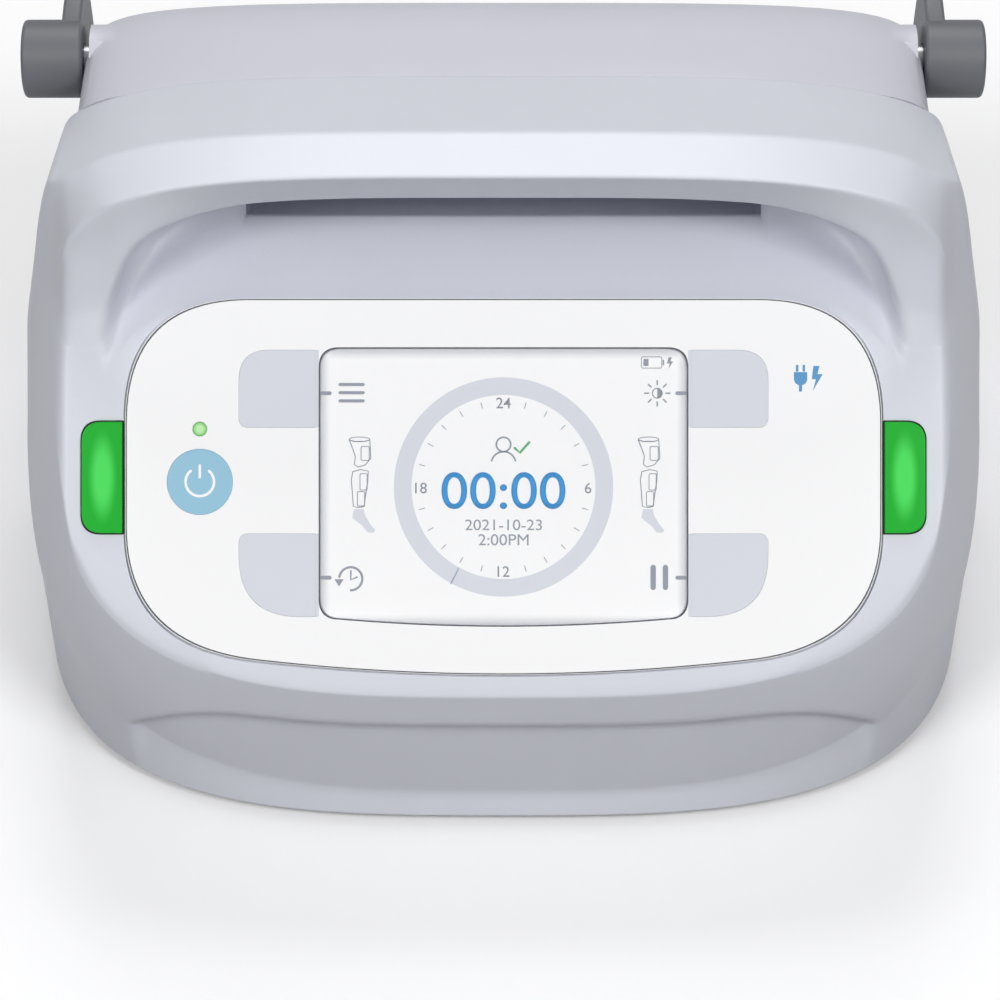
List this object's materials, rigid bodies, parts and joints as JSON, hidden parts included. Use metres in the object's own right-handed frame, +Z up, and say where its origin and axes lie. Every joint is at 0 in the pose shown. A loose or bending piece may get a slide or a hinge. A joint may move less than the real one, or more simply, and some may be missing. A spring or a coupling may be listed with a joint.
{
  "type": "compression therapy pump",
  "caption": "Bedside compression therapy air pump with tilted display panel, membrane keys, recessed carry grip under a hoop and fold-out bed hook.",
  "frame": {"origin": "on the floor, under the middle of the whole object's box", "axes": "+Z up, the front wall and the control panel face -Y, +X to the right of someone who faces the panel"},
  "size_m": [0.1972, 0.1462, 0.1265],
  "materials": {
    "shell_plastic": "fine moulded grain",
    "rear_plastic": "fine moulded grain",
    "dark_plastic": "fine moulded grain",
    "panel_film": "satin printed film",
    "key_grey": "satin",
    "key_blue": "satin",
    "window_clear": "hard coated",
    "display_grey": "satin",
    "lens_green": "polished lens",
    "print_blue": "printed",
    "print_grey": "printed",
    "print_green": "printed",
    "board_green": "circuit board",
    "rubber_dark": "matte",
    "steel": "turned",
    "cast_alloy": "die cast",
    "hose_plastic": "satin",
    "battery_blue": "shrink wrap",
    "brass": "turned"
  },
  "bodies": {
    "root": {"front_housing": "shell_plastic", "rear_housing": "rear_plastic", "base_plate": "rear_plastic", "control_panel_overlay": "panel_film", "display_window": "window_clear", "display_module": "display_grey", "display_board": "board_green", "status_light": "lens_green", "alarm_light_left": "lens_green", "alarm_light_right": "lens_green", "alarm_board_left": "board_green", "alarm_board_right": "board_green", "pump_body": "cast_alloy", "pump_head_left": "dark_plastic", "pump_head_right": "dark_plastic", "pump_mount_front": "rubber_dark", "pump_mount_rear": "rubber_dark", "valve_block": "hose_plastic", "solenoid_valve_1": "dark_plastic", "solenoid_valve_2": "dark_plastic", "solenoid_valve_3": "dark_plastic", "air_tube_left": "hose_plastic", "air_tube_right": "hose_plastic", "air_port_a": "dark_plastic", "air_port_b": "dark_plastic", "pressure_sensor": "dark_plastic", "power_inlet": "dark_plastic", "main_board": "board_green", "power_supply": "board_green", "battery_pack": "battery_blue", "battery_door": "rear_plastic", "speaker": "dark_plastic", "hook_pin_left": "steel", "hook_pin_right": "steel", "foot_1": "rubber_dark", "foot_2": "rubber_dark", "foot_3": "rubber_dark", "foot_4": "rubber_dark", "base_screw_1": "steel", "base_screw_2": "steel", "base_screw_3": "steel", "base_screw_4": "steel", "battery_door_screw": "brass"},
    "power_key": {"power_button": "key_blue"},
    "key_top_left": {"softkey_top_left": "key_grey"},
    "key_bottom_left": {"softkey_bottom_left": "key_grey"},
    "key_top_right": {"softkey_top_right": "key_grey"},
    "key_bottom_right": {"softkey_bottom_right": "key_grey"},
    "armature": {"pump_armature": "steel"},
    "hook": {"bed_hook": "dark_plastic", "hook_pad": "rubber_dark"}
  },
  "joints": [
    {"name": "power_button_press", "type": "slide", "parent": "root", "child": "power_key", "axis": [0, 0.6157, -0.788], "range_m": [0, 0.001], "stiffness_N_per_m": 900},
    {"name": "softkey_top_left_press", "type": "slide", "parent": "root", "child": "key_top_left", "axis": [0, 0.6157, -0.788], "range_m": [0, 0.0007], "stiffness_N_per_m": 900},
    {"name": "softkey_bottom_left_press", "type": "slide", "parent": "root", "child": "key_bottom_left", "axis": [0, 0.6157, -0.788], "range_m": [0, 0.0007], "stiffness_N_per_m": 900},
    {"name": "softkey_top_right_press", "type": "slide", "parent": "root", "child": "key_top_right", "axis": [0, 0.6157, -0.788], "range_m": [0, 0.0007], "stiffness_N_per_m": 900},
    {"name": "softkey_bottom_right_press", "type": "slide", "parent": "root", "child": "key_bottom_right", "axis": [0, 0.6157, -0.788], "range_m": [0, 0.0007], "stiffness_N_per_m": 900},
    {"name": "armature_stroke", "type": "slide", "parent": "root", "child": "armature", "axis": [1, 0, 0], "range_m": [-0.0018, 0.0018], "stiffness_N_per_m": 2000},
    {"name": "hook_swing", "type": "hinge", "parent": "root", "child": "hook", "pos_m": [0, 0.0521, 0.095], "axis": [1, 0, 0], "range_deg": [0, 90]}
  ]
}
